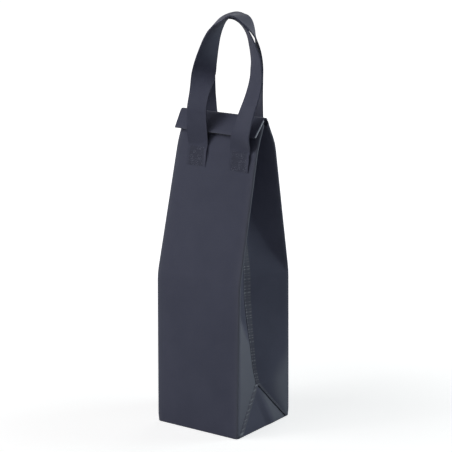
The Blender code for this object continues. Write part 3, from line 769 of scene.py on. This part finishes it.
def curve(shares, values, at):
    """A cubic curve through values, whose bend runs on smoothly through every one of them."""
    gaps = np.diff(shares)
    slopes = np.diff(values) / gaps
    count = len(shares)
    system = np.zeros((count, count))
    wanted = np.zeros(count)
    system[0, :3] = gaps[1], -(gaps[0] + gaps[1]), gaps[0]
    system[-1, -3:] = gaps[-1], -(gaps[-2] + gaps[-1]), gaps[-2]
    for row in range(1, count - 1):
        system[row, row - 1 : row + 2] = gaps[row - 1], 2.0 * (gaps[row - 1] + gaps[row]), gaps[row]
        wanted[row] = 6.0 * (slopes[row] - slopes[row - 1])
    bend = np.linalg.solve(system, wanted)
    piece = np.clip(np.searchsorted(shares, at, side="right") - 1, 0, count - 2)
    gap, left, right = gaps[piece], at - shares[piece], shares[piece + 1] - at
    cubes = (bend[piece] * right**3 + bend[piece + 1] * left**3) / (6.0 * gap)
    lines = (values[piece] / gap - bend[piece] * gap / 6.0) * right
    return cubes + lines + (values[piece + 1] / gap - bend[piece + 1] * gap / 6.0) * left


def strap_grid(stations, hang, depth_at, face):
    """A strap: up its welded end, along its twisting path square to it, and down the other end.

    Gives the grid, the thickness at each row and how much each row is welded.
    """
    at = np.linspace(0.0, 1.0, STRAP_ROWS)
    x, z, turn = (curve(STRAP_SHARES, row, at) for row in stations)
    far = np.where(at < 0.5, np.interp(z, *hang[0]), np.interp(z, *hang[1]))
    padded = np.pad(far, 4, mode="edge")
    y = np.convolve(padded, np.ones(9) / 9.0, mode="valid")
    centre = np.stack([x, y, z], -1) * MM
    turn = np.radians(turn)
    along = np.gradient(centre, axis=0)
    along /= np.linalg.norm(along, axis=1)[:, None]
    across = np.stack([np.cos(turn), np.sin(turn), np.zeros_like(turn)], -1)
    across -= along * (across * along).sum(axis=1)[:, None]
    across /= np.linalg.norm(across, axis=1)[:, None]
    across[0], across[-1] = (1.0, 0.0, 0.0), (-1.0, 0.0, 0.0)
    share = np.linspace(-0.5, 0.5, STRAP_COLUMNS)[None, :, None]
    loop = centre[:, None, :] + share * STRAP_WIDTH * across[:, None, :]
    rise = np.linspace(PAD_TOP - PAD_HEIGHT, PAD_TOP - 0.4 * MM, PAD_ROWS)
    sunk = rising((rise - rise[0]) / PAD_HEIGHT)
    middle = depth_at(rise) + (0.55 + 0.4 * sunk) * MM
    pads = []
    for end, way in ((0, 1.0), (-1, -1.0)):
        spread = centre[end, 0] + way * share[..., 0] * STRAP_WIDTH
        standing = rising((way * share[..., 0] - 0.28) / 0.22) * (0.35 + 0.9 * sunk[:, None]) * MM
        blend = rising((rise - rise[-1]) / (5.0 * MM) + 1.0)[:, None]
        y = face * (middle[:, None] + standing) * (1.0 - blend) + centre[end, 1] * blend
        pad = np.stack(np.broadcast_arrays(spread, y, rise[:, None]), -1)
        pads.append(pad if way > 0 else pad[::-1])
    thick = PAD + (STRAP - PAD) * sunk
    thickness = np.concatenate([thick, np.full(STRAP_ROWS, STRAP), thick[::-1]])
    welded = 1.0 - rising((rise - rise[-1]) / (3.0 * MM) + 1.0)
    weld = np.concatenate([welded, np.zeros(STRAP_ROWS), welded[::-1]])
    return np.concatenate([pads[0], loop, pads[1]]), thickness[:, None], weld[:, None]


def make_straps(materials):
    """The two straps, each one length of fabric from welded end to welded end."""
    rows = (
        ("front", FRONT_STRAP, FRONT_HANG, front_depth, -1.0, "front_panel", "front_strap"),
        ("back", BACK_STRAP, BACK_HANG, back_depth, 1.0, "back_panel", "back_strap"),
    )
    for name, stations, hang, depth_at, face, panel, strap in rows:
        grid, thickness, weld = strap_grid(stations, hang, depth_at, face)
        # The stipple of the weld stops short of the strap's edges
        across = np.linspace(-0.5, 0.5, grid.shape[1])[None, :] * STRAP_WIDTH
        inside = rising((STRAP_WIDTH / 2.0 - 1.0 * MM - np.abs(across)) / (3.0 * MM))
        thick = thickness[..., None]
        made = sheet_object(
            f"{name}_strap", grid, thick, materials["strap"], -thick / 2.0, marks={"welded": weld * inside}
        )
        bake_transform(made)
        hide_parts(f"{name}_handle", f"{name}_strap_end_left", f"{name}_strap_end_right")


def dotted(along, across, pitch, strength, first):
    """How hard each point of a weld is pressed: two rows of dots with rungs between them.

    Along and pitch are in millimetres; across runs from nought to one, with the stronger row of dots at
    the first place given. The dots wander along the weld and fade in places.
    """
    jitter = 0.5 * np.sin(along * 0.83) + 0.4 * np.sin(along * 0.29 + 2.0)
    beat = np.clip(np.cos(2.0 * math.pi * (along + jitter) / pitch), 0.0, 1.0) ** 2
    edges = np.exp(-(((across - first) / 0.13) ** 2)) + 0.5 * np.exp(-(((across - 0.8) / 0.13) ** 2))
    fade = 0.55 + 0.45 * np.sin(along * 0.37) * np.sin(along * 0.11 + 1.0)
    return np.clip(beat * (0.15 + edges) * strength * fade, 0.0, 1.0)


def side_weld_grid(side):
    """The weld up a side: it lies on the back gusset beside the seam, and its lip laps the front's.

    Gives the grid, and how pale each of its points is pressed: the dots show up to about 190 mm.
    """
    z = heights_between(TIP_HEIGHT, GUSSET_TOP - 4.0 * MM, WELD_STEP)[:, None]
    end_x, end_y = seam_point(z, 1.0)
    last = side_turn(z, back_depth(z), 1.0, CORNER_RADIUS)
    across = np.linspace(0.0, 1.0, 19)[None, :]
    wide = (3.6 + 4.0 * rising((z / MM - 60.0) / 90.0)) * MM
    run = wide * across * 1.25 - 0.25 * wide
    dots = dotted(z / MM, across, 3.6, 1.0, 0.2)
    lift = 0.55 * MM - 0.3 * MM * dots
    hugged = np.where(run < 0.0, -0.55 * run, np.abs(np.sin(last)) * run)
    x = end_x + hugged - back_crease(1.0 - np.maximum(run, 0.0) / GUSSET_WIDTH, z) + lift
    y = end_y - SLACK - 0.3 * MM + np.where(run < 0.0, run, np.cos(last) * run)
    return place(x, y, z + 0.0 * across, side, 1.0), dots * (1.0 - rising((z / MM - 180.0) / 15.0))


def foot_weld_grid(side, face, depth_at, begins, width, dots):
    """A weld down a slanted base seam: it lies on the wall beside it. Gives the grid, and its dots."""
    z = heights_between(2.0 * MM, TIP_HEIGHT, WELD_STEP)[:, None]
    edge_x, edge_y = seam_point(z, face)
    across = np.linspace(0.0, 1.0, 25)[None, :]
    spread = (width * across + begins) * MM
    press = dotted(z / MM, across, *dots)
    half_x = edge_x + (wall_width(z) - edge_x) * np.clip(spread / (depth_at(z) - edge_y), 0.0, 1.0)
    sunk = EDGE_SUNK * (2.0 - rising(across / 0.12) - rising((1.0 - across) / 0.12)) if face < 0 else 0.0
    lift = 0.35 * MM - 0.2 * MM * press - sunk
    return place(half_x + lift, edge_y + spread, z + 0.0 * across, side, face), press


def make_seams(materials):
    """The welded margins up the sides and down to the ground corners, pressed into rows of dots."""
    for where, side in (("left", -1.0), ("right", 1.0)):
        grid, pale_and_painted_light = side_weld_grid(side)
        made = sheet_object(
            f"{where}_side_weld", grid, WELD, materials["weld"], flip=side < 0, marks={"pale_and_painted_light": pale_and_painted_light}
        )
        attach(made, "box")
        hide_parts(f"{where}_side_seam")
        for slant, begins, width, *dots in FOOT_WELDS:
            face = -1.0 if slant == "front" else 1.0
            depth_at = front_depth if slant == "front" else back_depth
            grid, pale_and_painted_light = foot_weld_grid(side, face, depth_at, begins, width, dots)
            flip = side * face > 0
            made = sheet_object(
                f"{where}_foot_weld_{slant}", grid, WELD, materials["weld"], flip=flip, marks={"pale_and_painted_light": pale_and_painted_light}
            )
            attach(made, "box")
            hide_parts(f"{where}_base_seam_{slant}")


def make_closure(materials):
    """The hook strip on the front panel, and the loop strip on the flap's lining, both over its middle."""
    across = np.linspace(-0.5, 0.5, CLOSURE_COLUMNS)[None, :] * CLOSURE_LENGTH
    z = np.linspace(HOOK_FOOT, HOOK_FOOT + CLOSURE_WIDTH, CLOSURE_ROWS)[:, None]
    nap = 0.25 * MM * np.sin(across / (0.8 * MM)) * np.sin((z - HOOK_FOOT) / (0.6 * MM))
    hooks = np.stack(np.broadcast_arrays(sway(z) + across, -front_depth(z) - 1.3 * MM + nap, z), -1)
    # The loops lie along the flap's run, each of their columns between two of the flap's
    flap = flap_grid(count=CLOSURE_COLUMNS)
    fold, hem = flap[FOLD_ROWS - 1], flap[-1]
    slope = (hem - fold) / np.linalg.norm(hem - fold, axis=1)[:, None]
    start = fold + slope * LOOP_START
    columns = np.arange(CLOSURE_COLUMNS)
    middle = np.interp(sway(FOLD_HEIGHT) + across[0], start[:, 0], columns)
    rows = []
    for down in np.linspace(0.0, CLOSURE_WIDTH, CLOSURE_ROWS):
        row = start + slope * down
        rows.append(np.stack([np.interp(middle, columns, row[:, axis]) for axis in range(3)], -1))
    under = np.cross(slope[CLOSURE_COLUMNS // 2], (1.0, 0.0, 0.0))
    under = under * np.sign(under[1])
    nap = 0.25 * MM * np.sin(across / (0.9 * MM)) * np.sin(np.linspace(0.0, 12.0, CLOSURE_ROWS))[:, None]
    loops = np.array(rows) + under * (LAMINATE + GAP + 1.2 * MM + nap[..., None])
    for name, grid, body in (("hook_strip", hooks, "front_panel"), ("loop_strip", loops, "flap")):
        made = sheet_object(f"{name}_tape", grid, CLOSURE_THICKNESS, materials["closure"])
        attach(made, body)
        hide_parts(name)


def make_camera():
    """The photograph's viewpoint: a long lens, a little above the bag and to its right."""
    azimuth, elevation, distance = math.radians(35.58), math.radians(13.39), 1.917
    focal_pixels, photo_pixels = 1800.0, 452.0
    level = math.cos(elevation)
    back = Vector((math.sin(azimuth) * level, -math.cos(azimuth) * level, math.sin(elevation)))
    right = Vector((math.cos(azimuth), math.sin(azimuth), 0.0))
    aim = right * (2.4 * MM) + Vector((0.0, 0.0, 215.3 * MM))
    camera = bpy.data.objects.new("camera", bpy.data.cameras.new("camera"))
    bpy.context.scene.collection.objects.link(camera)
    camera.data.sensor_width = 36.0
    camera.data.lens = focal_pixels / photo_pixels * 36.0
    camera.location = aim + back * distance
    camera.rotation_mode = "QUATERNION"
    camera.rotation_quaternion = (-back).to_track_quat("-Z", "Y")
    camera.data.clip_start, camera.data.clip_end = 0.05, 50.0
    bpy.context.scene.camera = camera


def area_light(name, location, power, colour):
    """A soft square lamp aimed at the middle of the bag."""
    data = bpy.data.lights.new(name, "AREA")
    data.shape = "SQUARE"
    data.size = LAMP_SIZE
    data.energy = power
    data.color = colour
    lamp = bpy.data.objects.new(name, data)
    lamp.location = location
    lamp.rotation_mode = "QUATERNION"
    lamp.rotation_quaternion = (Vector(LAMP_TARGET) - Vector(location)).to_track_quat("-Z", "Y")
    bpy.context.scene.collection.objects.link(lamp)


def make_world():
    """A world that looks white to the camera and in reflections, and gives the bag a little light."""
    world = bpy.data.worlds.new("studio")
    bpy.context.scene.world = world
    world.use_nodes = True
    tree = world.node_tree
    tree.nodes.clear()
    rays = node(tree, "ShaderNodeLightPath").outputs
    seen = rays["Is Camera Ray"]
    for kind in ("Is Glossy Ray", "Is Transmission Ray"):
        either = node(tree, "ShaderNodeMath", {"operation": "MAXIMUM"}, {0: seen, 1: rays[kind]})
        seen = either.outputs["Value"]
    lit = node(tree, "ShaderNodeBackground", {"Color": (*WHITE, 1.0), "Strength": 0.06})
    white = node(tree, "ShaderNodeBackground", {"Color": (*WHITE, 1.0), "Strength": 1.0})
    mix = node(tree, "ShaderNodeMixShader", {}, {"Fac": seen})
    tree.links.new(lit.outputs["Background"], mix.inputs[1])
    tree.links.new(white.outputs["Background"], mix.inputs[2])
    node(tree, "ShaderNodeOutputWorld", {}, {"Surface": mix.outputs["Shader"]})


def make_floor():
    """A white floor. To the camera it glows as well, more with distance, which leaves a soft shadow."""
    mesh = bpy.data.meshes.new("floor")
    signs = ((-1.0, -1.0), (1.0, -1.0), (1.0, 1.0), (-1.0, 1.0))
    corners = [(x * FLOOR_HALF, y * FLOOR_HALF, 0.0) for x, y in signs]
    mesh.from_pydata(corners, [], [(0, 1, 2, 3)])
    floor = bpy.data.objects.new("floor", mesh)
    bpy.context.scene.collection.objects.link(floor)
    # Matt white paper
    paper = bpy.data.materials.new("white_paper")
    paper.use_nodes = True
    tree = paper.node_tree
    tree.nodes.clear()
    rays = node(tree, "ShaderNodeLightPath").outputs
    diffuse = node(tree, "ShaderNodeBsdfDiffuse", {"Color": (0.8, 0.8, 0.8, 1.0)})
    spot = node(tree, "ShaderNodeTexCoord").outputs["Object"]
    reach = node(tree, "ShaderNodeVectorMath", {"operation": "LENGTH"}, {0: spot})
    strength = node(
        tree,
        "ShaderNodeMapRange",
        {
            "interpolation_type": "SMOOTHSTEP",
            "From Min": 0.15,
            "From Max": 0.8,
            "To Min": 0.7,
            "To Max": 1.0,
        },
        {"Value": reach.outputs["Value"]},
    )
    glow = node(
        tree, "ShaderNodeEmission", {"Color": (*WHITE, 1.0)}, {"Strength": strength.outputs["Result"]}
    )
    both = node(tree, "ShaderNodeAddShader")
    tree.links.new(diffuse.outputs["BSDF"], both.inputs[0])
    tree.links.new(glow.outputs["Emission"], both.inputs[1])
    mix = node(tree, "ShaderNodeMixShader", {}, {"Fac": rays["Is Camera Ray"]})
    tree.links.new(diffuse.outputs["BSDF"], mix.inputs[1])
    tree.links.new(both.outputs["Shader"], mix.inputs[2])
    node(tree, "ShaderNodeOutputMaterial", {}, {"Surface": mix.outputs["Shader"]})
    mesh.materials.append(paper)


bpy.context.scene.view_settings.view_transform = "Standard"
make_camera()
make_world()
for lamp_row in LAMPS:
    area_light(*lamp_row)
make_floor()
finishes = make_materials()
make_body(finishes)
make_base(finishes)
make_straps(finishes)
make_seams(finishes)
make_closure(finishes)
